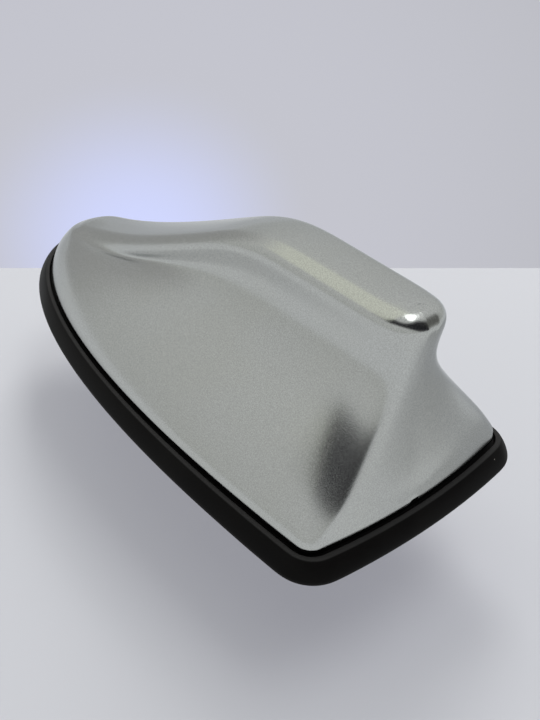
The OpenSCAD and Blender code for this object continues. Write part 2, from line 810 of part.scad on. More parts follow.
// Moulded shroud of the connector: it hangs from the board through the neck, with its
// socket open to below and two coding ribs outside
module connector_shroud() {
    y0 = shroud_y - shroud_len / 2;
    y1 = shroud_y + shroud_len / 2;
    half = shroud_w / 2;
    color("#e6e2d6") difference() {
        union() {
            bar(-half, half, y0, y1, -shroud_d, board_z);
            for (x = [-half / 2, half / 2 - 1]) bar(x, x + 1, y1 - eps, y1 + 0.9, -shroud_d, -neck_d - slide_gap);
        }
        bar(-half + shroud_wall, half - shroud_wall, y0 + shroud_wall, y1 - shroud_wall, -shroud_d - 1, socket_floor);
        jacks() rod(pin_r + fit, socket_floor - 1, board_z + 1);
    }
}
// Outer contacts of the coaxial jacks
module jack_shells() {
    color("#d9b44a") jacks() difference() {
        rod(jack_r, socket_floor - jack_len, socket_floor);
        rod(jack_r - 0.4, socket_floor - jack_len - 1, socket_floor + 1);
    }
}
// Centre pins of the coaxial jacks, soldered through the board
module jack_pins() {
    color("#e0c060") jacks() rod(pin_r, socket_floor - jack_len + 0.5, board_top + 0.7);
}

patch_z = board_top + patch_pad_t;
// Bonding pad under the satellite patch
module patch_pad() {
    color("#5a5d60") translate([0, -patch_y, 0]) difference() {
        bar(-patch_size / 2 + 0.5, patch_size / 2 - 0.5, -patch_size / 2 + 0.5, patch_size / 2 - 0.5, board_top, patch_z);
        rod(pin_r + fit, board_top - 1, patch_z + 1);
    }
}
// Ceramic patch aerial for satellite navigation
module satnav_patch() {
    half = patch_size / 2;
    color("#cdbfa4") translate([0, -patch_y, 0]) difference() {
        bar(-half, half, -half, half, patch_z, patch_z + patch_t);
        rod(pin_r + fit, patch_z - 1, patch_z + patch_t + 1);
        translate([half, half, 0]) rotate(45) bar(-2, 2, -2, 2, patch_z - 1, patch_z + patch_t + 1);
    }
}
// Feed pin through the patch and the board
module patch_pin() {
    color("#cfd1d2") translate([0, -patch_y, 0]) {
        rod(pin_r, board_z - 0.6, patch_z + patch_t);
        rod(pin_r + 0.5, patch_z + patch_t, patch_z + patch_t + 0.4);
    }
}

// Upright phone aerial board, cut to the rise of the fin
module phone_blade() {
    y0 = -blade_len + 4;
    top = [for (i = [0:6]) let (y = y0 + blade_len * i / 6) [y, crest_z(y) - cover_wall - blade_gap]];
    color("#2a7a48") translate([-blade_t / 2, 0, 0]) rotate([90, 0, 90]) linear_extrude(blade_t)
        polygon(concat([[y0, board_top]], top, [[y0 + blade_len, board_top]]));
}

hat_z = fin_h - shoulder_drop - cover_wall - foam_gap - foam_h;
hat_rear = crest_r[0] - cover_wall - hat_gap;
saddle_t = 2;
saddle_z = hat_z - hat_t - saddle_t;
coil_z = board_top + coil_foot;
coil_top = hat_z - hat_flange - coil_head;
coil_pitch = (coil_top - coil_z) / coil_turns;
// Moulded former: foot on the board, column for the coil, web and saddle for the plate
module coil_former() {
    color("#3a3c40") {
        bar(-former_foot, former_foot, coil_y - former_toe, coil_y + former_toe, board_top, board_top + 2);
        translate([0, coil_y, 0]) {
            rod(former_r, board_top + 2 - eps, saddle_z + eps);
            rod(former_r + 2, board_top + 2, board_top + 3);
            rod(former_r + 2, coil_top + 1.2, coil_top + 2.2);
        }
        bar(-hat_half + hat_t + slide_gap, hat_half - hat_t - slide_gap, hat_front + 1, hat_rear - 1, saddle_z, hat_z - hat_t);
        translate([-0.8, 0, 0]) rotate([90, 0, 90]) linear_extrude(1.6) polygon([
            [coil_y - former_r + 0.5, coil_top + 2.2],
            [coil_y - former_r + 0.5, saddle_z + eps],
            [hat_front + 4, saddle_z + eps],
            [hat_front + 4, saddle_z - 2]
        ]);
    }
}

// Enamelled wire wound round the former
module radio_coil() {
    ring_n = 12;
    wire_n = 6;
    r = former_r + wire_r + fit;
    count = coil_turns * ring_n;
    points = [
        for (i = [0:count], k = [0:wire_n - 1])
            let (
                a = 360 * i / ring_n,
                w = r + wire_r * cos(360 * k / wire_n)
            )
            [w * cos(a), w * sin(a), coil_z + coil_pitch * i / ring_n + wire_r * sin(360 * k / wire_n)]
    ];
    sides = [
        for (i = [0:count - 1], k = [0:wire_n - 1], half = [0, 1])
            let (
                j = (k + 1) % wire_n,
                a = i * wire_n + k,
                b = i * wire_n + j,
                c = (i + 1) * wire_n + j,
                d = (i + 1) * wire_n + k
            )
            half == 0 ? [a, d, c] : [a, c, b]
    ];
    ends = [[for (k = [0:wire_n - 1]) k], [for (k = [wire_n - 1:-1:0]) count * wire_n + k]];
    color("#b5673a") translate([0, coil_y, 0]) polyhedron(points = points, faces = concat(sides, ends), convexity = 10);
}

// Spring strip that joins the coil's first turn to the board
module feed_clip() {
    x0 = former_foot + slide_gap;
    reach = former_r + 2 * wire_r + fit + slide_gap;
    color("#d8b25a") translate([0, coil_y + 2, 0]) rotate([90, 0, 0]) linear_extrude(4) polygon([
        [x0, board_top],
        [x0 + 3.4, board_top],
        [x0 + 3.4, board_top + 0.4],
        [x0 + 0.4, board_top + 0.4],
        [x0 + 0.4, coil_z + 0.8],
        [reach, coil_z + 0.8],
        [reach, coil_z + 0.4],
        [x0, coil_z + 0.4]
    ]);
}

// Folded plate under the fin's crest, the radio aerial's top load
module hat_plate() {
    color("#cbd0d2") difference() {
        bar(-hat_half, hat_half, hat_front, hat_rear, hat_z - hat_flange, hat_z);
        bar(-hat_half + hat_t, hat_half - hat_t, hat_front - 1, hat_rear + 1, hat_z - hat_flange - 1, hat_z - hat_t);
    }
}
// Foam strip that keeps the plate from rattling in the fin
module hat_foam() {
    color("#2d2e30") bar(-hat_half + 1.5, hat_half - 1.5, hat_front + foam_front, hat_rear - foam_back, hat_z, hat_z + foam_h);
}

fin_cover();
base_seal();
base_plate();
hole_ring();
mount_stud();
claw_plate();
mount_nut();
vent_plug();
cover_screws();
board_screws();
main_board();
shield_can();
connector_shroud();
jack_shells();
jack_pins();
patch_pad();
satnav_patch();
patch_pin();
phone_blade();
coil_former();
radio_coil();
feed_clip();
hat_plate();
hat_foam();
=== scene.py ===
import math

import bmesh
import bpy
from mathutils import Matrix, Vector


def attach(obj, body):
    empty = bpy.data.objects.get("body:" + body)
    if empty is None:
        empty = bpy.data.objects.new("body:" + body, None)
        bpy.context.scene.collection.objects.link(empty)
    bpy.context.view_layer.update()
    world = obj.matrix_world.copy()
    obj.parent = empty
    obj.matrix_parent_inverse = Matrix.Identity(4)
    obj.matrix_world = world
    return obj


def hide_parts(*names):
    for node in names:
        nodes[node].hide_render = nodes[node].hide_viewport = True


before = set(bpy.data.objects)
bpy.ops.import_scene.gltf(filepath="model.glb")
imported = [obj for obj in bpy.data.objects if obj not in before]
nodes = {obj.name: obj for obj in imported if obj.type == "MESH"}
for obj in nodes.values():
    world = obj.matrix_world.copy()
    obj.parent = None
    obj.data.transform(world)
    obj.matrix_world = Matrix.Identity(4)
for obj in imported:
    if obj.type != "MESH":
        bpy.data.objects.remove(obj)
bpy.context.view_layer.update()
scene = bpy.context.scene
mm = 0.001

# Camera
# It looks down on the aerial from behind its rear left corner and is rolled a little,
# as in the photograph.
look_azimuth = math.radians(134.218)
look_height = math.radians(36.766)
look_roll = math.radians(6.271)
look_at = Vector((6.081, 21.961, 20.0)) * mm
look_back = Vector((
    math.sin(look_azimuth) * math.cos(look_height),
    -math.cos(look_azimuth) * math.cos(look_height),
    math.sin(look_height),
))
camera = bpy.data.objects.new("camera", bpy.data.cameras.new("camera"))
scene.collection.objects.link(camera)
camera.data.lens = 51.27
camera.data.clip_start = 0.01
level_right = (-look_back).cross(Vector((0, 0, 1))).normalized()
level_up = level_right.cross(-look_back)
look_right = level_right * math.cos(look_roll) + level_up * math.sin(look_roll)
look_up = level_up * math.cos(look_roll) - level_right * math.sin(look_roll)
camera.matrix_world = Matrix.Translation(look_at + look_back * 272.634 * mm) @ Matrix((
    look_right, look_up, look_back,
)).transposed().to_4x4()
scene.camera = camera
scene.view_settings.view_transform = "Standard"


# Table and wall
# A matt pale table stands a little below the stud's tip, so that the aerial's shadow
# falls clear of it. The wall behind shows a faint bluish glow, and only its front shows.
class Sock:
    """A socket that takes Python's operators and adds Math nodes for them."""

    def __init__(self, graph, out):
        self.graph = graph
        self.out = out

    def __add__(self, other):
        return self.graph.maths("ADD", self, other)

    def __sub__(self, other):
        return self.graph.maths("SUBTRACT", self, other)

    def __rsub__(self, other):
        return self.graph.maths("SUBTRACT", other, self)

    def __mul__(self, other):
        return self.graph.maths("MULTIPLY", self, other)

    __radd__ = __add__
    __rmul__ = __mul__


class Graph:
    """The node tree of one material or of the world."""

    def __init__(self, owner):
        owner.use_nodes = True
        self.tree = owner.node_tree
        self.tree.nodes.clear()

    def node(self, kind, sockets=None, out=0, **settings):
        made = self.tree.nodes.new("ShaderNode" + kind)
        for name, value in settings.items():
            if name == "stops":
                ramp = made.color_ramp
                while len(ramp.elements) < len(value):
                    ramp.elements.new(1.0)
                for stop, (place, colour) in zip(ramp.elements, value):
                    stop.position = place
                    stop.color = (*colour, 1.0)
            else:
                setattr(made, name, value)
        for name, value in (sockets or {}).items():
            self.feed(made.inputs[name], value)
        return Sock(self, made.outputs[out]) if len(made.outputs) else None

    def feed(self, socket, value):
        if isinstance(value, Sock):
            self.tree.links.new(value.out, socket)
        elif isinstance(value, (tuple, list, Vector)) and len(value) == 3 and socket.type == "RGBA":
            socket.default_value = (*value, 1.0)
        else:
            socket.default_value = value

    def maths(self, operation, a, b=0.0):
        return self.node("Math", {0: a, 1: b}, operation=operation)

    def measure(self, operation, a, b=(0, 0, 0)):
        """A number from one or two vectors, such as a distance."""
        return self.node("VectorMath", {0: a, 1: b}, out="Value", operation=operation)

    def step(self, value, low, high):
        """0 below low, 1 above high, and smooth between them."""
        sockets = {"Value": value, "From Min": low, "From Max": high}
        return self.node("MapRange", sockets, interpolation_type="SMOOTHSTEP")

    def blend(self, factor, a, b):
        made = self.tree.nodes.new("ShaderNodeMix")
        made.data_type = "RGBA"
        for index, value in ((0, factor), (6, a), (7, b)):
            self.feed(made.inputs[index], value)
        return Sock(self, made.outputs[2])

    def noise(self, scale, where=None, detail=2.0, **more):
        sockets = {"Scale": scale, "Detail": detail, **more}
        sockets["Vector"] = self.place() if where is None else where
        return self.node("TexNoise", sockets)

    def place(self):
        return self.node("TexCoord", out="Object")

    def grained(self, scale):
        """The place on the object with each axis scaled, for a pattern that runs one way."""
        return self.node("VectorMath", {0: self.place(), 1: scale}, operation="MULTIPLY")

    def parts(self, vector):
        made = self.tree.nodes.new("ShaderNodeSeparateXYZ")
        self.feed(made.inputs[0], vector)
        return [Sock(self, made.outputs[i]) for i in range(3)]

    def bump(self, height, distance, normal=None):
        sockets = {"Height": height, "Distance": distance, "Strength": 1.0}
        if normal is not None:
            sockets["Normal"] = normal
        return self.node("Bump", sockets)

    def surface(self, **sockets):
        named = {name.replace("_", " "): value for name, value in sockets.items()}
        return self.node("BsdfPrincipled", named)

    def finish(self, shader, kind="Material"):
        self.node("Output" + kind, {"Surface": shader})


def on_table(px, py):
    """The point of the table that the photograph shows at this pixel of 540 by 720."""
    focal = camera.data.lens / 36 * 720
    ray = look_right * (px - 270) / focal + look_up * (360 - py) / focal - look_back
    start = camera.matrix_world.translation
    return start + ray * ((table_z - start.z) / ray.z)


def flat_piece(name, corners):
    shape = bmesh.new()
    shape.faces.new([shape.verts.new(c) for c in corners])
    mesh = bpy.data.meshes.new(name)
    shape.to_mesh(mesh)
    shape.free()
    piece = bpy.data.objects.new(name, mesh)
    scene.collection.objects.link(piece)
    return piece


table_z = -34 * mm
table_half = 3.0
table = flat_piece("table", [
    Vector((x * table_half, y * table_half, table_z)) for x, y in ((-1, -1), (1, -1), (1, 1), (-1, 1))
])
graph = Graph(bpy.data.materials.new("table_paint"))
table.data.materials.append(bpy.data.materials["table_paint"])
ray = graph.node("LightPath", out="Is Glossy Ray")
matt = graph.node("BsdfDiffuse", {"Color": (0.60, 0.605, 0.62)})
lit = graph.node("Emission", {"Color": (0.52, 0.52, 0.60), "Strength": 1.0})
shown = graph.node("LightPath", out="Is Camera Ray")
seen_table = graph.node("MixShader", {0: shown * 0.40, 1: matt, 2: lit})


def painted_reflection_shade(centre, inner, outer, most):
    """Painted shade in the table's reflection: how much it dims round a point, fading out between two radii.
    """
    away = graph.measure("DISTANCE", graph.place(), (*centre, table_z))
    return (1 - graph.step(away, inner, outer)) * most


# Painted shade: the table, as the paint and metal see it, is darker in three round patches.
dim = painted_reflection_shade((-0.16, 0.11), 0.06, 0.15, 0.42) + painted_reflection_shade((-0.30, -0.50), 0.20, 0.50, 0.30)
dim = dim + painted_reflection_shade((0.045, -0.11), 0.05, 0.11, 0.25)
shine_tone = graph.blend(dim, (0.95, 0.98, 1.0), (0.05, 0.05, 0.05))
shine = graph.node("Emission", {"Color": shine_tone, "Strength": 1.0})
graph.finish(graph.node("MixShader", {0: ray * 0.8, 1: seen_table, 2: shine}))

horizon_row = 268
edge_a = on_table(0, horizon_row)
edge_b = on_table(540, horizon_row)
beyond = (edge_b - edge_a).normalized() * 4
rise = Vector((0, 0, 3))
wall = flat_piece("wall", [edge_a - beyond, edge_b + beyond, edge_b + beyond + rise, edge_a - beyond + rise])
wall.visible_diffuse = False
wall.visible_glossy = False
wall.visible_shadow = False
wall.visible_transmission = False
graph = Graph(bpy.data.materials.new("wall_paint"))
wall.data.materials.append(bpy.data.materials["wall_paint"])
glow_at = edge_a.lerp(edge_b, 0.24) + Vector((0, 0, 0.012))
# Painted light: a faint bluish glow round one point of the wall, which is darker away from it.
away = graph.measure("DISTANCE", graph.place(), glow_at)
glow = 1 - graph.step(away, 0.006, 0.070)
tone = graph.blend(graph.step(away, 0.06, 0.30), (0.555, 0.56, 0.62), (0.465, 0.47, 0.495))
tone = graph.blend(glow, tone, (0.64, 0.69, 1.0))
paint = graph.node("Emission", {"Color": tone})
gone = graph.node("BsdfTransparent")
behind = graph.node("NewGeometry", out="Backfacing")
graph.finish(graph.node("MixShader", {0: behind, 1: paint, 2: gone}))

# Studio light
# A pale dome lights the aerial evenly, and one wide lamp hangs over it. The paint
# reflects a bright window and a beam on the dome, the dim side where the photographer
# stands, and two dim patches.
world = bpy.data.worlds.new("studio")
scene.world = world
graph = Graph(world)
toward = graph.node("TexCoord", out="Generated")


def patch(direction, inner, outer):
    """1 inside a round patch of the dome, fading to 0; the two angles are in degrees."""
    aim = Vector(direction).normalized()
    cosine = graph.measure("DOT_PRODUCT", toward, aim)
    return graph.step(cosine, math.cos(math.radians(outer)), math.cos(math.radians(inner)))


across, along, height = graph.parts(toward)
flat = graph.node("VectorMath", {0: toward, 1: (1, 1, 0)}, operation="MULTIPLY")
level = graph.node("VectorMath", {0: flat}, operation="NORMALIZE")
photographer = (0.669, 0.743, 0)
facing = graph.measure("DOT_PRODUCT", level, photographer)
low_edge = graph.measure("DOT_PRODUCT", toward, (0.654, 0.189, -0.731))
room = graph.step(facing, math.cos(math.radians(78)), math.cos(math.radians(69)))
room = room * (1 - graph.step(low_edge, 0.05, 0.13)) * (1 - graph.step(height, 0.80, 0.93))
window = graph.step(height, 0.49, 0.59) * graph.step(across, -0.52, -0.38)
window = window * graph.step(along, -0.80, -0.64) * (1 - graph.step(along, -0.30, -0.12))
tone = graph.blend(graph.step(height, -0.1, 0.7), (0.74, 0.76, 0.75), (0.84, 0.86, 0.86))
tone = graph.blend(patch((-0.05, -0.95, 0.12), 6, 34) * 0.7, tone, (0.50, 0.50, 0.50))
tone = graph.blend(window, tone, (1.06, 1.09, 0.98))
tone = graph.blend(room, tone, (0.025, 0.025, 0.03))
tone = graph.blend(patch((-0.68, 0.62, 0.38), 6, 30) * 0.85, tone, (0.10, 0.10, 0.09))
beam_along = graph.measure("DOT_PRODUCT", toward, (0.53, 0.85, 0.06))
beam_across = graph.measure("DOT_PRODUCT", toward, (0.80, -0.50, 0.20)) + 0.02
beam = beam_along * beam_along * 7 + beam_across * beam_across * 26
beam = (1 - graph.step(beam, 0.4, 1.0)) * graph.step(height, 0.5, 0.6)
tone = graph.blend(beam, tone, (4.5, 4.6, 4.6))
seen = graph.node("LightPath", out="Is Camera Ray")
dome = graph.node("Background", {"Color": tone, "Strength": 1.0})
plain = graph.node("Background", {"Color": (0.60, 0.60, 0.63), "Strength": 1.0})
graph.finish(graph.node("MixShader", {0: seen, 1: dome, 2: plain}), "World")

lamp = bpy.data.objects.new("lamp", bpy.data.lights.new("lamp", "AREA"))
scene.collection.objects.link(lamp)
lamp.data.shape = "SQUARE"
lamp.data.size = 0.3
lamp.data.energy = 4.0
lamp.location = Vector((-0.42, -0.40, 0.62))
lamp.visible_glossy = False
lamp.rotation_mode = "QUATERNION"
lamp.rotation_quaternion = (lamp.location - look_at).to_track_quat("Z", "Y")

# Fin cover
# An injection moulded shell, sprayed in satin silver with fine flake under clear lacquer.
# Its lower edge is rolled in over the seal, with a small locating notch at the rear.


def smooth_copy(node, name, sharp, keep, levels, soften=None, lean=None):
    """A rounded copy of a CAD node: edges sharper than an angle keep some of their crease.

    soften picks the points to smooth. lean is a height and how far its points move in.
    """
    shape = bmesh.new()
    shape.from_mesh(nodes[node].data)
    bmesh.ops.remove_doubles(shape, verts=shape.verts, dist=0.002 * mm)
    bmesh.ops.dissolve_degenerate(shape, edges=shape.edges, dist=0.002 * mm)
    bmesh.ops.join_triangles(
        shape, faces=shape.faces,
        angle_face_threshold=math.radians(30), angle_shape_threshold=math.radians(100),
    )
    if soften:
        for depth in (0, 1):
            near = [vert for vert in shape.verts if soften(vert.co / mm, depth)]
            bmesh.ops.smooth_vert(
                shape, verts=near, factor=0.5, use_axis_x=True, use_axis_y=True, use_axis_z=True
            )
    if lean:
        ring_z, inward = lean
        shape.normal_update()
        for vert in shape.verts:
            if abs(vert.co.z / mm - ring_z) < 0.01:
                vert.co -= Vector((vert.normal.x, vert.normal.y, 0)).normalized() * inward * mm
    crease = shape.edges.layers.float.new("crease_edge")
    for edge in shape.edges:
        if edge.calc_face_angle(0.0) > math.radians(sharp):
            edge[crease] = keep
    for face in shape.faces:
        face.smooth = True
    mesh = bpy.data.meshes.new(name)
    shape.to_mesh(mesh)
    shape.free()
    piece = bpy.data.objects.new(name, mesh)
    scene.collection.objects.link(piece)
    rounding = piece.modifiers.new("rounding", "SUBSURF")
    rounding.levels = levels
    rounding.render_levels = levels
    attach(piece, "root")
    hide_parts(node)
    return piece


def crest_corner(place, depth):
    """Whether a point in mm is within the rear corners of the crest, in two nested steps."""
    return place.z > 46 + 1.2 * depth and place.y > 55 + 1.5 * depth and abs(place.x) > 2 + depth


rim_top = 8.2
cover = smooth_copy(
    "fin_cover", "fin_cover_painted", 38, 0.75, 2, soften=crest_corner, lean=(rim_top, 0.6)
)
paint = bpy.data.materials.new("satin_silver_paint")
cover.data.materials.append(paint)
graph = Graph(paint)
flake = graph.noise(3100, detail=2.0, Roughness=0.7)
cloud = graph.noise(38, detail=3.0)
tone = graph.blend(graph.step(cloud, 0.3, 0.7), (0.458, 0.463, 0.441), (0.470, 0.477, 0.466))
tone = graph.blend(graph.step(flake, 0.25, 0.75), (0.350, 0.355, 0.342), tone)
texture = graph.bump(flake, 0.008 * mm)
graph.finish(graph.surface(
    Base_Color=tone, Metallic=1.0, Roughness=graph.step(flake, 0.2, 0.8) * 0.05 + 0.16,
    Specular_Tint=(0.72, 0.73, 0.75, 1.0), Normal=texture, Coat_Weight=0.15, Coat_Roughness=0.20,
))

# Base seal
# A moulded black rubber skirt with a narrow ledge under the cover's edge and a shadow
# groove between them. The ledge and the outer lip carry a painted highlight, a lighter band in the colour.
seal = smooth_copy("base_seal", "base_seal_moulded", 32, 0.8, 2)
rubber = bpy.data.materials.new("seal_rubber_black")
seal.data.materials.append(rubber)
graph = Graph(rubber)
grain = graph.noise(1600, detail=3.0)
bloom = graph.noise(60, detail=4.0)
z = graph.parts(graph.place())[2]
# Painted highlight: the rubber is lighter in a band on the ledge and in one at the outer lip.
painted_ledge_highlight = graph.step(z, 4.9 * mm, 5.15 * mm) * (1 - graph.step(z, 5.25 * mm, 5.35 * mm))
painted_lip_highlight = 1 - graph.step(z, 0.5 * mm, 0.9 * mm)
tone = graph.blend(graph.step(bloom, 0.35, 0.75), (0.0036, 0.0032, 0.0032), (0.0066, 0.0060, 0.0056))
tone = graph.blend(painted_ledge_highlight * 0.8 + painted_lip_highlight * 0.25, tone, (0.030, 0.029, 0.029))
dust = graph.node("TexVoronoi", {"Vector": graph.place(), "Scale": 190.0})
dusty = graph.step(graph.noise(45, detail=2.0), 0.50, 0.62)
tone = graph.blend((1 - graph.step(dust, 0.022, 0.034)) * dusty, tone, (0.42, 0.40, 0.36))
graph.finish(graph.surface(
    Base_Color=tone, Roughness=graph.step(bloom, 0.2, 0.8) * 0.15 + 0.42,
    Normal=graph.bump(grain, 0.012 * mm), IOR=1.45, Specular_IOR_Level=0.06,
))

# Base plate
# One die casting with ribs, posts and a neck. It is grained as cast, with round marks
# from the ejector pins on its underside, and the neck is machined.


def coat(names, material):
    """Give CAD nodes a material in place of their own."""
    for name in names:
        for slot in nodes[name].material_slots:
            slot.material = material


def spots(graph, places, inner, outer):
    """1 inside upright round spots at (x, y) places in mm, fading to 0 between two radii."""
    x, y = graph.parts(graph.place())[:2]
    total = None
    for px, py in places:
        level = graph.node("CombineXYZ", {"X": x - px * mm, "Y": y - py * mm})
        away = graph.measure("LENGTH", level)
        spot = 1 - graph.step(away, inner * mm, outer * mm)
        total = spot if total is None else graph.maths("MAXIMUM", total, spot)
    return total


cast = bpy.data.materials.new("cast_aluminium")
graph = Graph(cast)
z = graph.parts(graph.place())[2]
grain = graph.noise(1400, detail=5.0, Roughness=0.65)
flow = graph.noise(70, detail=4.0, Distortion=1.2)
pin_places = [(side * x, y) for x, y in ((20, -5), (20, 25), (8, -40), (18, 58)) for side in (-1, 1)]
pins = spots(graph, pin_places, 1.7, 2.0)
machined = 1 - graph.step(z, 1.40 * mm, 1.55 * mm)
tone = graph.blend(graph.step(flow, 0.3, 0.7), (0.34, 0.35, 0.36), (0.43, 0.44, 0.45))
tone = graph.blend(pins * 0.5, tone, (0.50, 0.51, 0.52))
tone = graph.blend(machined, tone, (0.55, 0.56, 0.57))
relief = graph.bump(grain, 0.05 * mm, normal=graph.bump(pins, 0.15 * mm))
graph.finish(graph.surface(
    Base_Color=tone, Metallic=0.95, Roughness=grain * 0.18 + 0.36 - machined * 0.12, Normal=relief,
))
coat(["base_plate"], cast)

# Hole ring
# A die-cut ring of closed-cell rubber foam, pushed over the neck before fitting.
cell_rubber = bpy.data.materials.new("cell_rubber")
graph = Graph(cell_rubber)
cells = graph.node("TexVoronoi", {"Vector": graph.place(), "Scale": 3200.0}, feature="DISTANCE_TO_EDGE")
mottle = graph.noise(300, detail=3.0)
graph.finish(graph.surface(
    Base_Color=graph.blend(mottle, (0.010, 0.010, 0.011), (0.022, 0.022, 0.023)),
    Roughness=mottle * 0.15 + 0.72, Normal=graph.bump(cells, 0.08 * mm), IOR=1.45,
))
coat(["hole_ring"], cell_rubber)

# Stud
# Turned and thread-rolled steel with a hexagon head on the plate, plated in bright zinc.
# The groove near its tip keeps the nut captive.
thread_r = 3.99
root_r = 3.32
pitch = 1.25
turn_steps = 24


def turned(profile, closed=False, steps=48):
    """A lathe-turned shape from (radius, height) pairs in mm, centred on the Z axis."""
    shape = bmesh.new()
    chain = [shape.verts.new((r * mm, 0, h * mm)) for r, h in profile]
    lines = [shape.edges.new(pair) for pair in zip(chain, chain[1:])]
    if closed:
        lines.append(shape.edges.new((chain[-1], chain[0])))
    bmesh.ops.spin(
        shape, geom=chain + lines, cent=(0, 0, 0), axis=(0, 0, 1),
        angle=math.tau, steps=steps, use_merge=True,
    )
    bmesh.ops.remove_doubles(shape, verts=shape.verts, dist=0.001 * mm)
    bmesh.ops.recalc_face_normals(shape, faces=shape.faces)
    return shape


def hexagonal(shape, flats, low, high, chamfer_r, face, side):
    """Press the turned side between two heights to a hexagon, chamfered at one end face."""
    for vert in shape.verts:
        x, y, h = vert.co / mm
        away = math.hypot(x, y)
        if low < h < high and away > flats / 2 - 0.3:
            turn = (math.atan2(y, x) + math.tau) % (math.pi / 3) - math.pi / 6
            reach = flats / 2 / math.cos(turn)
            lift = (reach - chamfer_r) * math.tan(math.radians(30))
            if abs(h - face) < 0.5:
                h = face + side * lift
            vert.co = Vector((x * reach / away, y * reach / away, h)) * mm


def thread(top, turns):
    """A rolled thread's ridge, wound down from a height in mm, that fades out at its ends."""
    shape = bmesh.new()
    ridge = [(root_r - 0.15, 0.58), (thread_r, 0.09), (thread_r, -0.09), (root_r - 0.15, -0.58)]
    section = shape.faces.new([shape.verts.new((r * mm, 0, (top + h) * mm)) for r, h in ridge])
    steps = int(turns * turn_steps)
    fade_steps = 10
    bmesh.ops.spin(
        shape, geom=[section], cent=(0, 0, 0), axis=(0, 0, 1), dvec=(0, 0, -pitch / turn_steps * mm),
        angle=math.tau * turns, steps=steps,
    )
    shape.verts.ensure_lookup_table()
    for i, vert in enumerate(shape.verts):
        step = i // len(ridge)
        full = min(1.0, step / fade_steps, (steps - step) / fade_steps)
        away = math.hypot(vert.co.x, vert.co.y) / mm
        if away > root_r:
            shrink = (root_r - 0.05 + (away - root_r + 0.05) * full) / away
            vert.co.x *= shrink
            vert.co.y *= shrink
    bmesh.ops.recalc_face_normals(shape, faces=shape.faces)
    return shape


def assemble(name, parts, node, material, sharp=32):
    """One piece from shapes that are each set at one or more places, for a CAD node."""
    whole = bmesh.new()
    for shape, places in parts:
        loose = bpy.data.meshes.new(name + "_part")
        shape.to_mesh(loose)
        shape.free()
        for spot in places:
            known = len(whole.verts)
            whole.from_mesh(loose)
            whole.verts.ensure_lookup_table()
            bmesh.ops.translate(whole, vec=Vector(spot) * mm, verts=whole.verts[known:])
        bpy.data.meshes.remove(loose)
    for face in whole.faces:
        face.smooth = True
    for edge in whole.edges:
        edge.smooth = edge.calc_face_angle(0.0) < math.radians(sharp)
    mesh = bpy.data.meshes.new(name)
    whole.to_mesh(mesh)
    whole.free()
    mesh.materials.append(material)
    piece = bpy.data.objects.new(name, mesh)
    scene.collection.objects.link(piece)
    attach(piece, "root")
    if node:
        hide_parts(node)
    return piece


zinc = bpy.data.materials.new("bright_zinc_plate")
graph = Graph(zinc)
sheen = graph.noise(160, detail=3.0)
lines = graph.noise(300, where=graph.grained((1, 1, 14)))
spangle = graph.noise(2200, detail=2.0)
tone = graph.blend(graph.step(sheen, 0.35, 0.65), (0.49, 0.50, 0.50), (0.56, 0.56, 0.53))
tone = graph.blend(graph.step(spangle, 0.62, 0.75) * 0.25, tone, (0.36, 0.36, 0.35))
graph.finish(graph.surface(
    Base_Color=tone, Metallic=1.0, Roughness=lines * 0.14 + 0.20, Normal=graph.bump(lines, 0.01 * mm),
))
stud_flats = 12.0
head = turned([(0, 6.6), (5.0, 6.6), (5.9, 6.3), (5.9, 4.0), (0, 4.0)])
hexagonal(head, stud_flats, 3.9, 6.5, 5.6, 6.3, -1)
core = turned([
    (0, 4.1), (4.0, 4.1), (4.0, 0.9), (root_r, 0.3), (root_r, -15.1), (root_r, -15.9),
    (root_r, -23.0), (2.7, -23.9), (2.5, -24.0), (0, -24.0),
])
at_rest = [(0, 0, 0)]
stud_parts = [(part, at_rest) for part in (head, core, thread(0.4, 12), thread(-16.3, 5.25))]
assemble("stud_threaded", stud_parts, "mount_stud", zinc)

# Nut
# A hexagon flange nut, cold formed, with chamfered corners and the same zinc plate. Its
# flange bears on the claw plate.
nut = turned([
    (4.05, -6.3), (8.6, -6.3), (8.85, -6.5), (8.85, -7.0), (8.5, -7.25), (6.9, -7.8), (6.9, -10.8),
    (6.9, -14.0), (6.1, -14.3), (4.7, -14.3), (4.05, -13.8),
], closed=True)
nut_flats = 13.0
hexagonal(nut, nut_flats, -14.1, -7.7, 6.1, -14.3, 1)
assemble("nut_flanged", [(nut, at_rest)], "mount_nut", zinc)

# Claw plate
# Pressed from spring steel and passivated yellow, with the colour's usual drift. The
# press leaves its grain along the sheet.
passivated = bpy.data.materials.new("yellow_passivated_steel")
graph = Graph(passivated)
drift = graph.noise(90, detail=3.0, Distortion=0.8)
along_sheet = graph.noise(220, where=graph.grained((1, 9, 4)))
tone = graph.node("ValToRGB", {0: drift}, stops=[
    (0.30, (0.47, 0.43, 0.28)),
    (0.48, (0.52, 0.48, 0.30)),
    (0.60, (0.46, 0.47, 0.36)),
    (0.72, (0.50, 0.42, 0.36)),
])
graph.finish(graph.surface(
    Base_Color=tone, Metallic=1.0, Roughness=along_sheet * 0.2 + 0.22,
    Normal=graph.bump(along_sheet, 0.012 * mm),
))
coat(["claw_plate"], passivated)

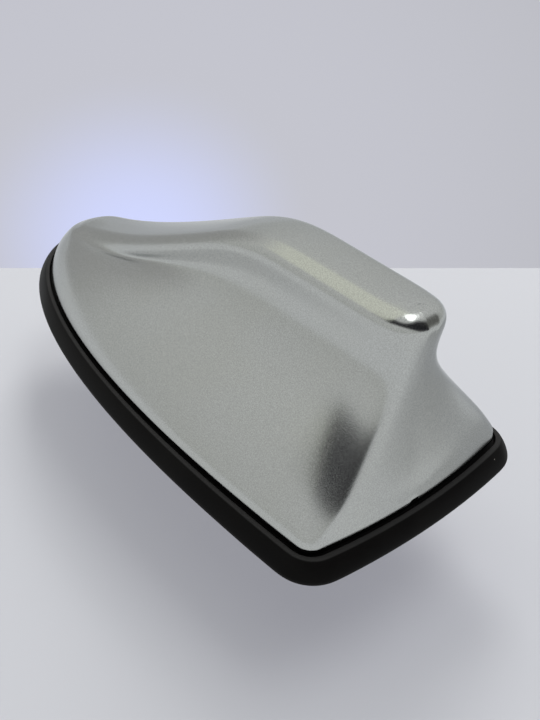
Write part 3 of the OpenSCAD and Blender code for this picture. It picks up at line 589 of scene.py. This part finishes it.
# Vent plug
# A moulded plug with a breathing membrane behind a rim, so that the cover neither sucks
# in water nor mists up.
dark_plastic = bpy.data.materials.new("dark_moulded_plastic")
graph = Graph(dark_plastic)
texture = graph.noise(2600, detail=3.0)
patchy = graph.noise(120, detail=3.0)
graph.finish(graph.surface(
    Base_Color=graph.blend(patchy, (0.022, 0.023, 0.026), (0.038, 0.040, 0.045)),
    Roughness=patchy * 0.14 + 0.42, Normal=graph.bump(texture, 0.02 * mm), IOR=1.5,
))
plug = turned([
    (0, 4.0), (2.7, 4.0), (3.0, 3.7), (3.0, 1.6), (4.1, 1.6), (4.2, 1.5), (4.2, 0.9), (4.1, 0.8),
    (2.6, 0.8), (2.5, 0.9), (2.5, 1.3), (0, 1.3),
])
vent_place = [(-17, -22, 0)]
assemble("vent_plug_moulded", [(plug, vent_place)], "vent_plug", dark_plastic)
membrane_cloth = bpy.data.materials.new("vent_membrane")
graph = Graph(membrane_cloth)
fibres = graph.noise(4200, detail=4.0, Distortion=2.0)
graph.finish(graph.surface(
    Base_Color=graph.blend(fibres, (0.58, 0.59, 0.58), (0.74, 0.75, 0.74)),
    Roughness=fibres * 0.1 + 0.78, Normal=graph.bump(fibres, 0.03 * mm),
))
disc = turned([(0, 1.29), (2.45, 1.29), (2.45, 1.22), (2.2, 1.16), (0, 1.14)])
assemble("vent_membrane_disc", [(disc, vent_place)], None, membrane_cloth)

# Cover screws and board screws
# Thread-forming pan head screws with a six-lobed drive. Seven dark plated ones clamp the
# plate to the cover's bosses, and four bright ones hold the board on its posts.


def pan_screw(shank_r, head_r, head_h, length):
    """A screw whose head's seat is at 0 with its head below, its shank up and a lobed drive."""
    drive = head_r * 0.46
    body = turned([
        (0, length), (shank_r * 0.6, length), (shank_r, length - 0.8), (shank_r, 0), (head_r, 0),
        (head_r, -head_h * 0.35), (head_r * 0.93, -head_h * 0.72), (head_r * 0.72, -head_h * 0.94),
        (drive + 0.25, -head_h), (drive, -head_h),
    ], steps=24)
    rim = [edge for edge in body.edges if edge.is_boundary]
    drawn = bmesh.ops.extrude_edge_only(body, edges=rim)["geom"]
    deep = [item for item in drawn if isinstance(item, bmesh.types.BMVert)]
    bmesh.ops.translate(body, vec=(0, 0, head_h * 0.7 * mm), verts=deep)
    for vert in {v for edge in rim for v in edge.verts} | set(deep):
        lobe = 1 + 0.13 * math.cos(6 * math.atan2(vert.co.y, vert.co.x))
        vert.co.x *= lobe
        vert.co.y *= lobe
    floor = [edge for edge in body.edges if edge.is_boundary]
    bmesh.ops.holes_fill(body, edges=floor, sides=0)
    bmesh.ops.recalc_face_normals(body, faces=body.faces)
    return body


dark_plate = bpy.data.materials.new("dark_zinc_plate")
graph = Graph(dark_plate)
rub = graph.noise(700, detail=3.0)
graph.finish(graph.surface(
    Base_Color=graph.blend(graph.step(rub, 0.45, 0.75), (0.10, 0.10, 0.11), (0.22, 0.22, 0.23)),
    Metallic=1.0, Roughness=rub * 0.2 + 0.28, Normal=graph.bump(rub, 0.008 * mm),
))
plate_face = 1.6
boss_pairs = [(18.0, -49.11), (27.36, 0.08), (27.95, 43.31)]
boss_places = [(0, -67)] + [(side * x, y) for x, y in boss_pairs for side in (-1, 1)]
cover_places = [(x, y, plate_face) for x, y in boss_places]
cover_screw = pan_screw(1.2, 2.5, 1.3, 9.4)
assemble("cover_screws_pan", [(cover_screw, cover_places)], "cover_screws", dark_plate)
board_top = 8.6
post_places = [(side * x, y) for x, y in ((9, -45), (17, 49)) for side in (-1, 1)]
board_places = [(x, y, board_top) for x, y in post_places]
board_screw = pan_screw(1.1, 2.2, 1.3, 5.4)
head_up = Matrix.Rotation(math.pi, 3, "X")
bmesh.ops.rotate(board_screw, cent=(0, 0, 0), matrix=head_up, verts=board_screw.verts)
assemble("board_screws_pan", [(board_screw, board_places)], "board_screws", zinc)

# Connector
# A pale moulded shroud hangs from the board through the neck. Four gold flashed coaxial
# contacts stand inside it, each a shell round a pin.
pale = bpy.data.materials.new("pale_moulded_plastic")
graph = Graph(pale)
texture = graph.noise(2400, detail=3.0)
flow = graph.noise(110, detail=3.0)
graph.finish(graph.surface(
    Base_Color=graph.blend(flow, (0.66, 0.64, 0.56), (0.74, 0.72, 0.64)),
    Roughness=texture * 0.12 + 0.40, Normal=graph.bump(texture, 0.012 * mm), IOR=1.5,
))
coat(["connector_shroud"], pale)
gold = bpy.data.materials.new("gold_flash")
graph = Graph(gold)
drawn = graph.noise(420, where=graph.grained((1, 1, 10)))
graph.finish(graph.surface(
    Base_Color=graph.blend(drawn, (0.66, 0.43, 0.15), (0.78, 0.56, 0.24)),
    Metallic=1.0, Roughness=drawn * 0.12 + 0.16, Normal=graph.bump(drawn, 0.004 * mm),
))
coat(["jack_shells", "jack_pins", "feed_clip"], gold)

# Circuit boards
# Glass-filled laminate under green solder mask, with copper tracks that show through it
# and bright pads round the screws. Small moulded chips stand on the main board.
laminate = bpy.data.materials.new("green_solder_mask")
graph = Graph(laminate)
weave = graph.noise(1800, detail=2.0)
cells = graph.node("TexVoronoi", {"Vector": graph.place(), "Scale": 260.0}, distance="CHEBYCHEV")
tracks = graph.step(cells, 0.42, 0.47) * (1 - graph.step(cells, 0.58, 0.63))
pads = spots(graph, post_places, 2.9, 3.0)
tone = graph.blend(weave, (0.012, 0.085, 0.035), (0.016, 0.105, 0.042))
tone = graph.blend(tracks, tone, (0.035, 0.20, 0.085))
tone = graph.blend(pads, tone, (0.72, 0.60, 0.34))
graph.finish(graph.surface(
    Base_Color=tone, Metallic=pads, Roughness=weave * 0.1 + 0.26,
    Normal=graph.bump(tracks, 0.035 * mm), IOR=1.5,
))
coat(["main_board", "phone_blade"], laminate)


def block(width, length, low, high):
    """A small moulded body with bevelled edges, between two heights in mm."""
    shape = bmesh.new()
    bmesh.ops.create_cube(shape, size=1.0)
    bmesh.ops.scale(shape, vec=Vector((width, length, high - low)) * mm, verts=shape.verts)
    bmesh.ops.translate(shape, vec=(0, 0, (low + high) / 2 * mm), verts=shape.verts)
    bmesh.ops.bevel(
        shape, geom=shape.edges[:], offset=0.12 * mm, segments=2, profile=0.5, affect="EDGES", material=-1
    )
    return shape


small_pairs = [(15.5, -8), (15.5, -12), (17, 36), (17, 40), (10, 5), (10, 1)]
chips = [
    (block(7, 7, board_top, 9.5), [(16.5, 6, 0), (0, 41, 0)]),
    (block(4, 5, board_top, 9.6), [(-16.5, 4, 0), (-16, 30, 0), (16, 24, 0)]),
    (block(2, 1.2, board_top, 9.2), [(side * x, y, 0) for side in (-1, 1) for x, y in small_pairs]),
]
assemble("board_chips", chips, None, dark_plastic)

# Shield can and top plate
# Folded tin plate: the can is soldered over the amplifiers, and its round vent holes are
# painted shade, dark spots in its colour. The plate clips on the former's saddle under the crest.
tin = bpy.data.materials.new("tin_plate")
graph = Graph(tin)
rolled = graph.noise(180, where=graph.grained((8, 1, 8)))
smear = graph.noise(60, detail=4.0)
x, y, z = graph.parts(graph.place())
half_pitch = 2 * mm
cell_x = graph.maths("PINGPONG", x + 10 * mm, half_pitch)
cell_y = graph.maths("PINGPONG", y + 10 * mm, half_pitch)
off_centre = graph.measure("LENGTH", graph.node("CombineXYZ", {"X": cell_x, "Y": cell_y}))
on_can = graph.step(z, 12.5 * mm, 12.55 * mm) * (1 - graph.step(z, 12.7 * mm, 12.8 * mm))
# Painted shade: dark round spots on the can's top stand in for its vent holes.
painted_hole_shade = (1 - graph.step(off_centre, 0.55 * mm, 0.62 * mm)) * on_can
tone = graph.blend(graph.step(smear, 0.3, 0.7), (0.58, 0.59, 0.59), (0.66, 0.67, 0.66))
tone = graph.blend(painted_hole_shade, tone, (0.02, 0.02, 0.02))
graph.finish(graph.surface(
    Base_Color=tone, Metallic=1.0, Roughness=rolled * 0.18 + 0.20, Normal=graph.bump(rolled, 0.01 * mm),
))
coat(["shield_can", "patch_pin", "hat_plate"], tin)

# Satellite patch
# A fired ceramic tile with a silvered square on its face, bonded to the board by a pad.
ceramic = bpy.data.materials.new("patch_ceramic_silvered")
graph = Graph(ceramic)
speckle = graph.noise(2600, detail=4.0)
x, y, z = graph.parts(graph.place())
reach = graph.maths("MAXIMUM", graph.maths("ABSOLUTE", x), graph.maths("ABSOLUTE", y + 30 * mm))
silvered = (1 - graph.step(reach, 10.4 * mm, 10.5 * mm)) * graph.step(z, 13.45 * mm, 13.55 * mm)
tone = graph.blend(speckle, (0.48, 0.41, 0.30), (0.58, 0.51, 0.39))
tone = graph.blend(silvered, tone, (0.66, 0.66, 0.64))
graph.finish(graph.surface(
    Base_Color=tone, Metallic=silvered, Roughness=speckle * 0.15 + 0.36,
    Normal=graph.bump(speckle, 0.01 * mm, normal=graph.bump(silvered, 0.03 * mm)),
))
coat(["satnav_patch"], ceramic)
bond = bpy.data.materials.new("bond_pad_foam")
graph = Graph(bond)
pores = graph.node("TexVoronoi", {"Vector": graph.place(), "Scale": 2600.0})
graph.finish(graph.surface(
    Base_Color=graph.blend(pores, (0.07, 0.07, 0.08), (0.10, 0.10, 0.11)),
    Roughness=pores * 0.1 + 0.7, Normal=graph.bump(pores, 0.05 * mm),
))
coat(["patch_pad"], bond)

# Radio aerial
# Enamelled copper wire on a moulded former, with a strip of open foam that keeps the
# plate over it from rattling against the cover.
coat(["coil_former"], dark_plastic)
enamel = bpy.data.materials.new("enamelled_copper")
graph = Graph(enamel)
dip = graph.noise(320, detail=3.0)
graph.finish(graph.surface(
    Base_Color=graph.blend(dip, (0.38, 0.12, 0.04), (0.52, 0.20, 0.08)),
    Metallic=0.9, Roughness=dip * 0.1 + 0.18, Coat_Weight=0.6, Coat_Roughness=0.08,
))
coat(["radio_coil"], enamel)
foam = bpy.data.materials.new("open_cell_foam")
graph = Graph(foam)
cells = graph.node("TexVoronoi", {"Vector": graph.place(), "Scale": 1500.0}, feature="DISTANCE_TO_EDGE")
walls = 1 - graph.step(cells, 0.02, 0.14)
graph.finish(graph.surface(
    Base_Color=graph.blend(walls, (0.008, 0.008, 0.009), (0.050, 0.051, 0.054)),
    Roughness=walls * 0.1 + 0.82, Normal=graph.bump(walls, 0.25 * mm),
))
coat(["hat_foam"], foam)
